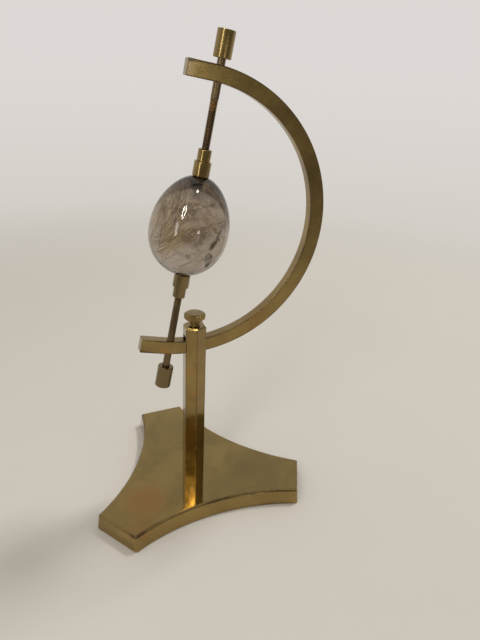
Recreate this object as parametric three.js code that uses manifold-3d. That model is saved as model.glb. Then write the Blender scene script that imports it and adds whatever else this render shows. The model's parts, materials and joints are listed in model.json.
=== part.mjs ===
// A brass display stand that holds a rutilated quartz egg inside a C-shaped meridian arc.
// Millimetres, +Z up. The origin is on the underside of the base plate, on the post's axis.
// The arc lies in the XZ plane; the front of the stand faces -Y.
import * as THREE from 'three';
import { mergeVertices } from 'three/addons/utils/BufferGeometryUtils.js';
import Module from 'manifold-3d';

const wasm = await Module();
wasm.setup();

// ---------------------------------------------------------------- driving dimensions

const FIT_GAP = 0.3; // clearance between pieces that touch on the real stand
const DEG = Math.PI / 180;

const BASE = {
  thickness: 9.2,
  armReach: 61.7, // centre to the middle of an arm's end
  armHalfWidth: 13.5,
  waist: 33.1, // centre to the nearest point of the concave edge
  flare: 0.9, // the sides lean out by this much at the bottom
  armAzimuth: -23.4 * DEG,
  cornerCut: 0.8,
  edgeRound: 1.2,
  footRound: 0.35,
};

const POST = {
  acrossFlats: 11,
  top: 101,
  edgeCut: 0.6,
  spigotRadius: 4,
  spigotLength: 6,
  holeRadius: 3,
};

const SLOT = { halfWidth: 4, bottom: 84.6, top: 96.2 };

const ARC = {
  centreX: -4.44,
  centreZ: 157,
  radius: 67.43, // to the middle of the bar
  barHeight: 7.3,
  barDepth: 6,
  edgeCut: 0.35,
  upperEnd: 80.4 * DEG, // where the round stretch turns into a straight tip
  lowerEnd: -101 * DEG,
  upperTip: 12.4,
  lowerTip: 11.9,
};

// The spindles' common axis crosses the height of the arc's centre at SPIN.x and leans towards +X.
const SPIN = { x: -1.75, lean: 9.95 * DEG };

const EGG = {
  halfLength: 24.6,
  radius: 19.4,
  taper: 0.1, // the lower end is this much fuller than the middle, the upper end slimmer
  centre: -2.7, // along the spindle axis, from the height of the arc's centre
  lean: 4.13 * DEG, // the egg sits a little off the spindle axis
  shift: -0.65,
};

// One spindle, measured outwards from the rim of its cup.
const CUP = { radius: 4.1, length: 6.9, padRecess: 1.2, recessRadius: 3.4, wall: 1, chamberRadius: 2.9 };
const BUSH = { radius: 3.2, length: 5.4, gap: 0.2, boreRadius: 2.2, spigotRadius: 2.6, spigotLength: 2 };
const PAD = { radius: 3.1, hollow: 0.5, edge: 0.2 };
const DISC = { radius: 2.4, thickness: 0.5 };
const ROD = { radius: 1.9, grooveRadius: 1.5, grooveStart: 3.7, grooveWidth: 1.2, insert: 9 };
const CLIP = { innerRadius: 1.8, outerRadius: 2.5, thickness: 0.6 };
const KNOB = { radius: 4.15, length: 11.7, edgeCut: 0.45, boreDepth: 9.4 };

const SPINDLES = {
  upper: { rim: 21.6, knobStart: 73.2, direction: 1 },
  lower: { rim: -27.4, knobStart: -79.8, direction: -1 },
};

const CLAMP = {
  headRadius: 5.6,
  headBottom: 104.5,
  headTop: 108.2,
  headRound: 0.9,
  neckRadius: 3,
  neckBottom: 101.3,
  threadRadius: 2.7,
  threadBottom: 97.1,
  pinRadius: 1.3,
  pinBottom: 95.3,
  padRadius: 2.6,
  padTop: 96.8,
  padSocketRadius: 1.6,
  padSocketDepth: 1.8,
};

const VISIBLE_SEGMENTS = 28;
const HIDDEN_SEGMENTS = 18;

// ---------------------------------------------------------------- materials

function metal(color, roughness) {
  return new THREE.MeshStandardMaterial({ color, roughness, metalness: 1 });
}

function soft(color, roughness) {
  return new THREE.MeshStandardMaterial({ color, roughness, metalness: 0 });
}

const polishedBrass = metal(0x9c8240, 0.28);
const turnedBrass = metal(0x8f7638, 0.32);
const agedBrass = metal(0x6a5228, 0.5);
const springSteel = metal(0x8a8c90, 0.35);
const nylon = soft(0xd9d3c2, 0.5);
const leather = soft(0x4b3423, 0.8);
const quartz = soft(0x8a7668, 0.08);

// ---------------------------------------------------------------- geometry helpers

function signedVolume(position, index) {
  const a = new THREE.Vector3();
  const b = new THREE.Vector3();
  const c = new THREE.Vector3();
  let volume = 0;
  for (let i = 0; i < index.length; i += 3) {
    a.fromArray(position, index[i] * 3);
    b.fromArray(position, index[i + 1] * 3);
    c.fromArray(position, index[i + 2] * 3);
    volume += a.dot(b.cross(c)) / 6;
  }
  return volume;
}

// Merges the shared vertices, drops triangles that have no area, and turns the faces outwards.
function closed(geometry) {
  const bare = new THREE.BufferGeometry();
  bare.setAttribute('position', geometry.getAttribute('position').clone());
  if (geometry.index) bare.setIndex(geometry.index.clone());
  const merged = mergeVertices(bare, 1e-4);
  const source = merged.index.array;
  const kept = [];
  for (let i = 0; i < source.length; i += 3) {
    const [a, b, c] = [source[i], source[i + 1], source[i + 2]];
    if (a !== b && b !== c && c !== a) kept.push(a, b, c);
  }
  if (signedVolume(merged.getAttribute('position').array, kept) < 0) kept.reverse();
  merged.setIndex(kept);
  merged.computeVertexNormals();
  return merged;
}

function toSolid(geometry) {
  const mesh = new wasm.Mesh({
    numProp: 3,
    vertProperties: new Float32Array(geometry.getAttribute('position').array),
    triVerts: new Uint32Array(geometry.index.array),
  });
  return new wasm.Manifold(mesh);
}

function fromSolid(solid) {
  const mesh = solid.getMesh();
  const geometry = new THREE.BufferGeometry();
  geometry.setAttribute('position', new THREE.BufferAttribute(new Float32Array(mesh.vertProperties), 3));
  geometry.setIndex(new THREE.BufferAttribute(new Uint32Array(mesh.triVerts), 1));
  return closed(geometry);
}

function cut(geometry, ...tools) {
  return fromSolid(tools.reduce((solid, tool) => solid.subtract(toSolid(tool)), toSolid(geometry)));
}

function join(geometry, ...others) {
  return fromSolid(others.reduce((solid, other) => solid.add(toSolid(other)), toSolid(geometry)));
}

// A solid of revolution about +Z from [radius, height] pairs.
function turned(profile, segments = VISIBLE_SEGMENTS, startAngle = 0) {
  const points = profile.map(([radius, height]) => new THREE.Vector2(radius, height));
  return closed(new THREE.LatheGeometry(points, segments, startAngle).rotateX(Math.PI / 2));
}

function rod(radius, bottom, top, segments = HIDDEN_SEGMENTS) {
  return turned([[0, bottom], [radius, bottom], [radius, top], [0, top]], segments);
}

function ring(innerRadius, outerRadius, bottom, top, segments = HIDDEN_SEGMENTS) {
  const profile = [
    [innerRadius, bottom],
    [outerRadius, bottom],
    [outerRadius, top],
    [innerRadius, top],
    [innerRadius, bottom],
  ];
  return turned(profile, segments);
}

// A body through outlines that lie at rising heights; every outline has the same number of points.
function stacked(levels) {
  const count = levels[0].outline.length;
  const position = levels.flatMap(({ outline, z }) => outline.flatMap((p) => [p.x, p.y, z]));
  const index = [];
  for (let level = 0; level < levels.length - 1; level += 1) {
    for (let i = 0; i < count; i += 1) {
      const a = level * count + i;
      const b = level * count + ((i + 1) % count);
      index.push(a, b, b + count, a, b + count, a + count);
    }
  }
  const topStart = (levels.length - 1) * count;
  for (const [a, b, c] of THREE.ShapeUtils.triangulateShape(levels[0].outline, [])) index.push(c, b, a);
  for (const [a, b, c] of THREE.ShapeUtils.triangulateShape(levels.at(-1).outline, [])) {
    index.push(topStart + a, topStart + b, topStart + c);
  }
  const geometry = new THREE.BufferGeometry();
  geometry.setAttribute('position', new THREE.Float32BufferAttribute(position, 3));
  geometry.setIndex(index);
  return closed(geometry);
}

const object = new THREE.Group();

function add(parent, name, geometry, material) {
  const mesh = new THREE.Mesh(geometry, material);
  mesh.name = name;
  parent.add(mesh);
}

// ---------------------------------------------------------------- base plate

// The three-armed outline, drawn in by `inset` all round: straight arm ends, concave sides between.
function baseOutline(inset) {
  const reach = BASE.armReach - inset;
  const halfWidth = BASE.armHalfWidth - inset;
  const waist = BASE.waist - inset;
  const step = 120 * DEG;
  const corner = new THREE.Vector2(reach, halfWidth);
  const bisector = new THREE.Vector2(Math.cos(step / 2), Math.sin(step / 2));
  const centreDistance = (corner.lengthSq() - waist ** 2) / (2 * (corner.dot(bisector) - waist));
  const radius = centreDistance - waist;
  const centre = bisector.clone().multiplyScalar(centreDistance);
  const halfSweep = corner.clone().sub(centre).angleTo(bisector.clone().negate());
  const cutAngle = BASE.cornerCut / radius;
  const sideSteps = 12;
  const points = [];
  for (let arm = 0; arm < 3; arm += 1) {
    const turn = BASE.armAzimuth + arm * step;
    const place = (p) => points.push(p.clone().rotateAround(new THREE.Vector2(), turn));
    place(new THREE.Vector2(reach, -halfWidth + BASE.cornerCut));
    place(new THREE.Vector2(reach, halfWidth - BASE.cornerCut));
    for (let i = 0; i <= sideSteps; i += 1) {
      const sweep = (halfSweep - cutAngle) * (1 - (2 * i) / sideSteps);
      const towards = bisector.clone().negate().rotateAround(new THREE.Vector2(), sweep);
      place(centre.clone().addScaledVector(towards, radius));
    }
  }
  return points;
}

function makeBasePlate() {
  const lean = (z) => -BASE.flare * (1 - z / BASE.thickness);
  const shoulder = BASE.thickness - BASE.edgeRound;
  const halfRound = BASE.edgeRound * Math.SQRT1_2;
  const levels = [
    { z: 0, inset: lean(0) + BASE.footRound },
    { z: BASE.footRound, inset: lean(BASE.footRound) },
    { z: shoulder, inset: lean(shoulder) },
    { z: shoulder + halfRound, inset: lean(shoulder) + BASE.edgeRound - halfRound },
    { z: BASE.thickness, inset: lean(shoulder) + BASE.edgeRound },
  ];
  const plate = stacked(levels.map(({ z, inset }) => ({ z, outline: baseOutline(inset) })));
  const holeBottom = BASE.thickness - POST.spigotLength - FIT_GAP;
  return cut(plate, rod(POST.spigotRadius + FIT_GAP, holeBottom, BASE.thickness + 1));
}

add(object, 'base_plate', makeBasePlate(), polishedBrass);

// ---------------------------------------------------------------- post

// The slot that the arc slides through: a round-ended opening along X.
function slotTool() {
  const shape = new THREE.Shape();
  const low = SLOT.bottom + SLOT.halfWidth;
  const high = SLOT.top - SLOT.halfWidth;
  shape.absarc(0, high, SLOT.halfWidth, 0, Math.PI);
  shape.absarc(0, low, SLOT.halfWidth, Math.PI, 2 * Math.PI);
  const length = POST.acrossFlats * 2;
  const tool = new THREE.ExtrudeGeometry(shape, { depth: length, bevelEnabled: false, curveSegments: 10 });
  tool.translate(0, 0, -length / 2);
  tool.rotateX(Math.PI / 2);
  tool.rotateZ(Math.PI / 2);
  return closed(tool);
}

function makePost() {
  const cornerRadius = POST.acrossFlats / 2 / Math.cos(30 * DEG);
  const foot = BASE.thickness;
  const bar = turned(
    [
      [0, foot],
      [cornerRadius - POST.edgeCut / 2, foot],
      [cornerRadius, foot + POST.edgeCut / 2],
      [cornerRadius, POST.top - POST.edgeCut],
      [cornerRadius - POST.edgeCut, POST.top],
      [0, POST.top],
    ],
    6,
    60 * DEG,
  );
  const spigot = rod(POST.spigotRadius, foot - POST.spigotLength, foot + 1);
  const screwHole = rod(POST.holeRadius, SLOT.top - SLOT.halfWidth, POST.top + 1);
  return cut(join(bar, spigot), slotTool(), screwHole);
}

add(object, 'post', makePost(), polishedBrass);

// ---------------------------------------------------------------- clamp screw and its pad

const clampProfile = [
  [0, CLAMP.pinBottom],
  [CLAMP.pinRadius, CLAMP.pinBottom],
  [CLAMP.pinRadius, CLAMP.threadBottom],
  [CLAMP.threadRadius, CLAMP.threadBottom],
  [CLAMP.threadRadius, CLAMP.neckBottom],
  [CLAMP.neckRadius, CLAMP.neckBottom],
  [CLAMP.neckRadius, CLAMP.headBottom],
  [CLAMP.headRadius - CLAMP.headRound, CLAMP.headBottom],
  [CLAMP.headRadius, CLAMP.headBottom + CLAMP.headRound],
  [CLAMP.headRadius, CLAMP.headTop - CLAMP.headRound],
  [CLAMP.headRadius - CLAMP.headRound, CLAMP.headTop - CLAMP.headRound / 4],
  [0, CLAMP.headTop],
];
add(object, 'clamp_screw', turned(clampProfile), turnedBrass);

// The pad's flat end clears the highest stretch of the bar's inner face that lies under it.
const innerFace = ARC.radius - ARC.barHeight / 2;
const padBottom = ARC.centreZ - Math.sqrt(innerFace ** 2 - (CLAMP.padRadius - ARC.centreX) ** 2) + FIT_GAP;
const clampPadProfile = [
  [0, padBottom],
  [CLAMP.padRadius, padBottom],
  [CLAMP.padRadius, CLAMP.padTop],
  [CLAMP.padSocketRadius, CLAMP.padTop],
  [CLAMP.padSocketRadius, CLAMP.padTop - CLAMP.padSocketDepth],
  [0, CLAMP.padTop - CLAMP.padSocketDepth],
];
add(object, 'clamp_pad', turned(clampPadProfile, HIDDEN_SEGMENTS), nylon);

// ---------------------------------------------------------------- meridian arc

function arcPoint(radius, angle) {
  return new THREE.Vector2(Math.cos(angle), Math.sin(angle)).multiplyScalar(radius);
}

// A round hole through the bar along the spindle axis, in the arc's own plane.
function spindleHole(direction) {
  const reach = ARC.radius * direction;
  const hole = rod(ROD.radius + FIT_GAP, reach - ARC.barHeight, reach + ARC.barHeight, VISIBLE_SEGMENTS);
  hole.rotateY(SPIN.lean);
  hole.translate(SPIN.x - ARC.centreX, 0, 0);
  return closed(hole);
}

function makeMeridianArc() {
  const inner = ARC.radius - ARC.barHeight / 2 + ARC.edgeCut;
  const outer = ARC.radius + ARC.barHeight / 2 - ARC.edgeCut;
  const upperRun = arcPoint(ARC.upperTip - ARC.edgeCut, ARC.upperEnd + Math.PI / 2);
  const lowerRun = arcPoint(ARC.lowerTip - ARC.edgeCut, ARC.lowerEnd - Math.PI / 2);
  const outline = [];
  const steps = 64;
  for (const [radius, from, to] of [[outer, ARC.lowerEnd, ARC.upperEnd], [inner, ARC.upperEnd, ARC.lowerEnd]]) {
    const run = (angle) => (angle === ARC.upperEnd ? upperRun : lowerRun);
    outline.push(arcPoint(radius, from).add(run(from)));
    for (let i = 0; i <= steps; i += 1) outline.push(arcPoint(radius, from + ((to - from) * i) / steps));
    outline.push(arcPoint(radius, to).add(run(to)));
  }
  const shape = new THREE.Shape(outline);
  const bar = new THREE.ExtrudeGeometry(shape, {
    depth: ARC.barDepth - 2 * ARC.edgeCut,
    bevelThickness: ARC.edgeCut,
    bevelSize: ARC.edgeCut,
    bevelSegments: 1,
  });
  bar.translate(0, 0, ARC.edgeCut - ARC.barDepth / 2);
  bar.rotateX(Math.PI / 2);
  const arc = cut(closed(bar), spindleHole(1), spindleHole(-1));
  return arc.translate(ARC.centreX, 0, ARC.centreZ);
}

add(object, 'meridian_arc', makeMeridianArc(), polishedBrass);

// ---------------------------------------------------------------- spindles

function cupProfile() {
  const floor = CUP.padRecess + CUP.wall;
  return [
    [0, CUP.padRecess],
    [CUP.recessRadius, CUP.padRecess],
    [CUP.recessRadius, 0],
    [CUP.radius, 0],
    [CUP.radius, CUP.length - 0.2],
    [CUP.radius - 0.2, CUP.length],
    [CUP.chamberRadius, CUP.length],
    [CUP.chamberRadius, floor],
    [0, floor],
  ];
}

function bushProfile() {
  const shoulder = CUP.length + BUSH.gap;
  const end = shoulder + BUSH.length;
  return [
    [BUSH.boreRadius, CUP.length - BUSH.spigotLength],
    [BUSH.spigotRadius, CUP.length - BUSH.spigotLength],
    [BUSH.spigotRadius, shoulder],
    [BUSH.radius, shoulder],
    [BUSH.radius, end - 0.3],
    [BUSH.radius - 0.3, end],
    [BUSH.boreRadius, end],
    [BUSH.boreRadius, CUP.length - BUSH.spigotLength],
  ];
}

function rodProfile(knobStart) {
  const start = CUP.padRecess + CUP.wall + FIT_GAP + DISC.thickness + FIT_GAP;
  const grooveEnd = ROD.grooveStart + ROD.grooveWidth;
  const end = knobStart + ROD.insert;
  return [
    [0, start],
    [ROD.radius, start],
    [ROD.radius, ROD.grooveStart],
    [ROD.grooveRadius, ROD.grooveStart],
    [ROD.grooveRadius, grooveEnd],
    [ROD.radius, grooveEnd],
    [ROD.radius, end],
    [0, end],
  ];
}

function knobProfile(knobStart) {
  const end = knobStart + KNOB.length;
  const bore = ROD.radius + FIT_GAP;
  return [
    [bore, knobStart],
    [KNOB.radius - KNOB.edgeCut, knobStart],
    [KNOB.radius, knobStart + KNOB.edgeCut],
    [KNOB.radius, end - KNOB.edgeCut],
    [KNOB.radius - KNOB.edgeCut, end],
    [0, end],
    [0, knobStart + KNOB.boreDepth],
    [bore, knobStart + KNOB.boreDepth],
    [bore, knobStart],
  ];
}

function padProfile() {
  const back = CUP.padRecess - FIT_GAP;
  return [
    [0, PAD.hollow],
    [PAD.radius / 2, (3 * PAD.hollow + PAD.edge) / 4],
    [PAD.radius, PAD.edge],
    [PAD.radius, back],
    [0, back],
  ];
}

// Everything on one spindle, in a group whose +Z points outwards from the egg.
function addSpindle(side, { rim, knobStart, direction }) {
  const group = new THREE.Group();
  group.rotation.y = SPIN.lean + (direction < 0 ? Math.PI : 0);
  group.position.set(SPIN.x + rim * Math.sin(SPIN.lean), 0, ARC.centreZ + rim * Math.cos(SPIN.lean));
  object.add(group);
  const knobAt = Math.abs(knobStart - rim);
  const discAt = CUP.padRecess + CUP.wall + FIT_GAP;
  const clipAt = ROD.grooveStart + (ROD.grooveWidth - CLIP.thickness) / 2;
  add(group, `${side}_cup_pad`, turned(padProfile(), HIDDEN_SEGMENTS), leather);
  add(group, `${side}_cup`, turned(cupProfile()), turnedBrass);
  add(group, `${side}_bush`, turned(bushProfile()), turnedBrass);
  add(group, `${side}_thrust_disc`, rod(DISC.radius, discAt, discAt + DISC.thickness), springSteel);
  const clip = ring(CLIP.innerRadius, CLIP.outerRadius, clipAt, clipAt + CLIP.thickness);
  add(group, `${side}_rod_clip`, clip, springSteel);
  add(group, `${side}_rod`, turned(rodProfile(knobAt), HIDDEN_SEGMENTS), agedBrass);
  add(group, `${side}_knob`, turned(knobProfile(knobAt)), turnedBrass);
}

for (const [side, spindle] of Object.entries(SPINDLES)) addSpindle(side, spindle);

// ---------------------------------------------------------------- quartz egg

function eggProfile() {
  const steps = 22;
  const points = [];
  for (let i = 0; i <= steps; i += 1) {
    const along = -Math.cos((Math.PI * i) / steps);
    const radius = EGG.radius * Math.sqrt(Math.max(0, 1 - along ** 2)) * (1 - EGG.taper * along);
    points.push([i % steps ? radius : 0, EGG.halfLength * along]);
  }
  return points;
}

const eggGroup = new THREE.Group();
eggGroup.rotation.y = SPIN.lean;
eggGroup.position.set(SPIN.x, 0, ARC.centreZ);
object.add(eggGroup);
const egg = turned(eggProfile(), 40);
egg.rotateY(EGG.lean);
egg.translate(EGG.shift, 0, EGG.centre);
add(eggGroup, 'quartz_egg', egg, quartz);

export default object;
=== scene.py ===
"""A brass mineral stand: a three-armed base, a hexagonal post, and a C-shaped meridian arc whose two
screw spindles hold a rutilated quartz egg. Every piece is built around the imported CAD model."""

import json
import math
import random

import bmesh
import bpy
from mathutils import Matrix, Vector


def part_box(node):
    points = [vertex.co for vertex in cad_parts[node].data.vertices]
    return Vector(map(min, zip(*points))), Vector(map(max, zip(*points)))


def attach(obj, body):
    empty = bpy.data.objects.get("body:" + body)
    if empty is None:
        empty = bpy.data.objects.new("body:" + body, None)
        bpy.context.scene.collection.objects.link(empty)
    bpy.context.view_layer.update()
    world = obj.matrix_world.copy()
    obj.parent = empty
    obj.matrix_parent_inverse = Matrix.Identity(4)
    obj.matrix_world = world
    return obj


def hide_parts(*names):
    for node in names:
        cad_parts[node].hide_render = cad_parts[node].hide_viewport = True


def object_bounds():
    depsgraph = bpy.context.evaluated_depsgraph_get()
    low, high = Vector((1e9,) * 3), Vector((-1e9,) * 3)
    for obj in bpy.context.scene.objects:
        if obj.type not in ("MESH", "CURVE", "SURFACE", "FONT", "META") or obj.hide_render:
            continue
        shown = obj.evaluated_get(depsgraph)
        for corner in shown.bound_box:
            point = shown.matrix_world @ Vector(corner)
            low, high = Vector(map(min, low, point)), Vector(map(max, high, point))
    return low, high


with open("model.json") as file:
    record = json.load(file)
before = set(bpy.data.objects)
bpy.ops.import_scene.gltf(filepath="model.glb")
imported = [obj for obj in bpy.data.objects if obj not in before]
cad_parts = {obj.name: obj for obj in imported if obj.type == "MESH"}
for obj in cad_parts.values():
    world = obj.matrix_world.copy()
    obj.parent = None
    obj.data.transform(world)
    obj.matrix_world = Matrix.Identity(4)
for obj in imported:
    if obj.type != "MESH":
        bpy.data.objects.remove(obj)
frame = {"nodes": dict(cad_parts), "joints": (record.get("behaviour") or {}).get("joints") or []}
cad_low, cad_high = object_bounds()

MM = 0.001
JOINTS = {joint["name"]: joint for joint in frame["joints"]}

# ---- driving dimensions, in millimetres

# The camera: where it stands, and how it is turned, in degrees.
CAMERA = {"place": (-69.08, -266.80, 233.20), "yaw": 19.447, "pitch": 25.034, "roll": 2.75, "lens": 32.608}

BASE = {
    "reach": 61.7,  # centre to the middle of an arm's end
    "half_width": 13.5,
    "waist": 33.1,  # centre to the nearest point of a concave side
    "azimuth": -23.4,
    "flare": 0.9,  # the sides lean out by this much at the bottom
    "top_round": 1.3,
    "foot_round": 0.35,
    "corner_round": 0.9,
}
POST = {"edge_round": 0.35, "top_cut": 0.9, "screw_hole": 3.0}
SLOT = {"half_width": 3.45, "bottom": 84.9, "top": 95.6}
ARC = {"upper_end": 80.4, "lower_end": -101.0, "upper_tip": 12.4, "lower_tip": 11.9, "edge_round": 0.5}
ROD = {"pitch": 0.7, "thread_depth": 0.28, "smooth_below_arc": 6.5, "hole_gap": 0.12}
SCREW = {"pitch": 1.0, "thread_depth": 0.42, "radius": 2.93, "flutes": 26, "flute_depth": 0.5}
CUP = {"rim_wall": 0.7, "recess": 1.2}
EGG = {"taper": 0.1, "skin": 0.5}


def facing(direction, origin):
    """A frame at `origin` whose Z runs along `direction`."""
    return Matrix.Translation(origin) @ direction.to_track_quat("Z", "Y").to_matrix().to_4x4()


def joint_place(name):
    """A frame whose origin is on a joint's axis and whose Z runs along it."""
    joint = JOINTS[name]
    return facing(Vector(joint["axis"]), Vector(joint["pos_m"]))


def node_points(name, place=Matrix.Identity(4)):
    """A CAD node's points, seen from the frame `place`."""
    back = place.inverted()
    return [back @ vertex.co for vertex in frame["nodes"][name].data.vertices]


def node_span(name, place):
    """How far a CAD node reaches along Z of `place`, and its radius about that axis."""
    points = node_points(name, place)
    heights = [point.z for point in points]
    return min(heights), max(heights), max(math.hypot(point.x, point.y) for point in points)


# The arc's bar: its centre and its inner and outer radius, in metres.
ARC_CENTRE = Vector(JOINTS["arc_tilt"]["pos_m"])
ARC_INNER = min(math.hypot(p.x - ARC_CENTRE.x, p.z - ARC_CENTRE.z) for p in node_points("meridian_arc"))
ARC_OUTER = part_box("meridian_arc")[1].x - ARC_CENTRE.x

# ---- camera


def link_object(name, data, place):
    obj = bpy.data.objects.new(name, data)
    bpy.context.scene.collection.objects.link(obj)
    obj.matrix_world = place
    return obj


def make_camera():
    yaw, pitch, roll = (math.radians(CAMERA[key]) for key in ("yaw", "pitch", "roll"))
    across = math.cos(pitch)
    forward = Vector((math.sin(yaw) * across, math.cos(yaw) * across, -math.sin(pitch)))
    level = Vector((math.cos(yaw), -math.sin(yaw), 0))
    upright = level.cross(forward)
    right = math.cos(roll) * level + math.sin(roll) * upright
    up = math.cos(roll) * upright - math.sin(roll) * level
    turn = Matrix((right, up, -forward)).transposed().to_4x4()
    place = Matrix.Translation(Vector(CAMERA["place"]) * MM) @ turn
    camera = link_object("camera", bpy.data.cameras.new("camera"), place)
    camera.data.lens = CAMERA["lens"]
    camera.data.sensor_width = 36
    camera.data.clip_start = 0.01
    bpy.context.scene.camera = camera


make_camera()

# ---- shader helpers


def add_node(tree, kind, settings=None, **inputs):
    """Adds a shader node. An input is a plain value or another node's output."""
    made = tree.nodes.new("ShaderNode" + kind)
    for key, value in (settings or {}).items():
        setattr(made, key, value)
    fill(tree, made, **inputs)
    return made


def fill(tree, node, **inputs):
    """Gives a node's inputs their values. A blank in an input's name is written as _ here."""
    for key, value in inputs.items():
        feed(tree, node.inputs[key.replace("_", " ")], value)


def feed(tree, socket, value):
    if isinstance(value, bpy.types.NodeSocket):
        tree.links.new(value, socket)
    else:
        socket.default_value = value


def calc(tree, operation, first, second=0.0, third=0.0, clamp=False):
    made = tree.nodes.new("ShaderNodeMath")
    made.operation = operation
    made.use_clamp = clamp
    for socket, value in zip(made.inputs, (first, second, third)):
        feed(tree, socket, value)
    return made.outputs[0]


def blend(tree, factor, first, second, mode="MIX"):
    """A mix of two colours."""
    made = tree.nodes.new("ShaderNodeMix")
    made.data_type = "RGBA"
    made.blend_type = mode
    for index, value in ((0, factor), (6, first), (7, second)):
        feed(tree, made.inputs[index], value)
    return made.outputs[2]


def spread(tree, value, low, high, to_low=0.0, to_high=1.0):
    """Maps low..high to to_low..to_high, smoothly and clamped."""
    ends = {"From_Min": low, "From_Max": high, "To_Min": to_low, "To_Max": to_high}
    return add_node(tree, "MapRange", {"interpolation_type": "SMOOTHSTEP"}, Value=value, **ends).outputs[0]


def noise(tree, coordinates, scale, detail=4.0, roughness=0.55, distortion=0.0):
    inputs = {"Scale": scale, "Detail": detail, "Roughness": roughness, "Distortion": distortion}
    return add_node(tree, "TexNoise", Vector=coordinates, **inputs).outputs[0]


def bump(tree, height, distance, strength=1.0, normal=None):
    under = {"Normal": normal} if normal else {}
    return add_node(tree, "Bump", Height=height, Distance=distance, Strength=strength, **under).outputs[0]


def distance_from(tree, place, centre=(0, 0, 0)):
    away = add_node(tree, "VectorMath", {"operation": "DISTANCE"})
    feed(tree, away.inputs[0], place)
    feed(tree, away.inputs[1], centre)
    return away.outputs["Value"]


def new_material(name):
    """An empty material: its tree, its Principled shader and the piece's own coordinates."""
    material = bpy.data.materials.new(name)
    material.use_nodes = True
    tree = material.node_tree
    shader = tree.nodes["Principled BSDF"]
    place = add_node(tree, "TexCoord").outputs["Object"]
    return material, tree, shader, place


def rgb(red, green, blue):
    return (red, green, blue, 1.0)


# ---- materials

CLEAN = rgb(0.325, 0.225, 0.072)
TARNISH = rgb(0.235, 0.16, 0.052)
BROWN = rgb(0.12, 0.07, 0.03)
AMBER = rgb(0.37, 0.19, 0.048)
# The edges' dark colour: tarnish, with painted shade for the dark reflection line along the edges.
EDGE_SHADE_AND_TARNISH = rgb(0.07, 0.04, 0.018)


def brass(
    name, clean=CLEAN, tarnish=TARNISH, rough=(0.2, 0.34), marks="brushed", patches=(), wave=1.0,
    edges=None, coat_rough=0.1, grain_depth=0.0000002
):
    """Lightly tarnished brass.

    marks: brushed along X, drawn along Z, or turned about Z. patches: (centre, size, colour, amount).
    wave: how uneven the surface is. edges: makes a mask of the edges, darkened by tarnish and by a painted
    dark line.
    """
    material, tree, shader, place = new_material(name)
    clouds = noise(tree, place, 38.0, 5.0, 0.6, 0.4)
    spots = noise(tree, place, 420.0, 3.0, 0.6)
    color = blend(tree, spread(tree, clouds, 0.36, 0.66), clean, tarnish)
    color = blend(tree, spread(tree, spots, 0.62, 0.8, 0.0, 0.3), color, BROWN)
    for centre, size, tone, amount in patches:
        away = distance_from(tree, place, centre)
        ragged = calc(tree, "MULTIPLY_ADD", noise(tree, place, 70.0, 4.0), size, away)
        color = blend(tree, spread(tree, ragged, size * 0.7, size * 1.7, amount, 0.0), color, tone)
    shaded_worn_edge = 0.0
    if edges:
        patchy = spread(tree, noise(tree, place, 90.0, 3.0), 0.3, 0.6, 0.35, 0.95)
        shaded_worn_edge = calc(tree, "MULTIPLY", edges(tree, place), patchy)
        # Darkens the edges: tarnish, with painted shade standing in for the dark line they reflect.
        color = blend(tree, shaded_worn_edge, color, EDGE_SHADE_AND_TARNISH)
    grain = noise(tree, marks_coordinates(tree, place, marks), 1.0, 3.0, 0.7)
    smear = calc(tree, "MULTIPLY", noise(tree, place, 120.0, 4.0, 0.6), 0.85)
    level = spread(tree, calc(tree, "MULTIPLY_ADD", grain, 0.15, smear), 0.3, 0.7, *rough)
    swell = bump(tree, noise(tree, place, 55.0, 2.0), 0.00012 * wave)
    pits = bump(tree, spread(tree, spots, 0.68, 0.82, 1.0, 0.0), 0.0000003, 0.6, swell)
    if marks == "turned":
        tangent = add_node(tree, "Tangent", {"direction_type": "RADIAL", "axis": "Z"})
        fill(tree, shader, Tangent=tangent.outputs[0], Anisotropic=0.7)
    fill(
        tree,
        shader,
        Base_Color=color,
        Roughness=calc(tree, "MULTIPLY_ADD", shaded_worn_edge, 0.3, level),
        Normal=bump(tree, grain, grain_depth, 0.8, pits),
        Metallic=1.0,
        Coat_Weight=0.45,
        Coat_Roughness=coat_rough,
    )
    return material


def length_of(tree, first, second):
    """The length of a vector with these two parts."""
    square = calc(tree, "MULTIPLY", second, second)
    return calc(tree, "SQRT", calc(tree, "MULTIPLY_ADD", first, first, square))


def post_edges(tree, place):
    """The upright edges of the hexagon: the parts furthest from its axis."""
    x, y, _ = add_node(tree, "SeparateXYZ", Vector=place).outputs
    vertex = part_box("post")[1].y
    return spread(tree, length_of(tree, x, y), vertex * 0.95, vertex * 0.985, 0.0, 0.5)


def base_edges(tree, place):
    """The rounded upper edge of the base, where the surface leans between upright and flat."""
    normal = add_node(tree, "NewGeometry").outputs["Normal"]
    lean = add_node(tree, "SeparateXYZ", Vector=normal).outputs[2]
    above, below = spread(tree, lean, 0.12, 0.3), spread(tree, lean, 0.9, 0.985, 1.0, 0.0)
    patchy = spread(tree, noise(tree, place, 60.0, 2.0), 0.4, 0.62, 0.15, 0.85)
    return calc(tree, "MULTIPLY", calc(tree, "MULTIPLY", above, below), patchy)


def arc_edges(tree, place):
    """The long edges of the arc's bar."""
    x, y, z = add_node(tree, "SeparateXYZ", Vector=place).outputs
    x, z = calc(tree, "SUBTRACT", x, ARC_CENTRE.x), calc(tree, "SUBTRACT", z, ARC_CENTRE.z)
    off_middle = calc(tree, "SUBTRACT", length_of(tree, x, z), (ARC_INNER + ARC_OUTER) / 2)

    def near_end(value, end, amount):
        return spread(tree, calc(tree, "ABSOLUTE", value), end - 0.95 * MM, end - 0.3 * MM, 0.0, amount)

    near_face = near_end(off_middle, (ARC_OUTER - ARC_INNER) / 2, 1.0)
    return calc(tree, "MULTIPLY", near_face, near_end(y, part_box("meridian_arc")[1].y, 0.65))


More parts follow.
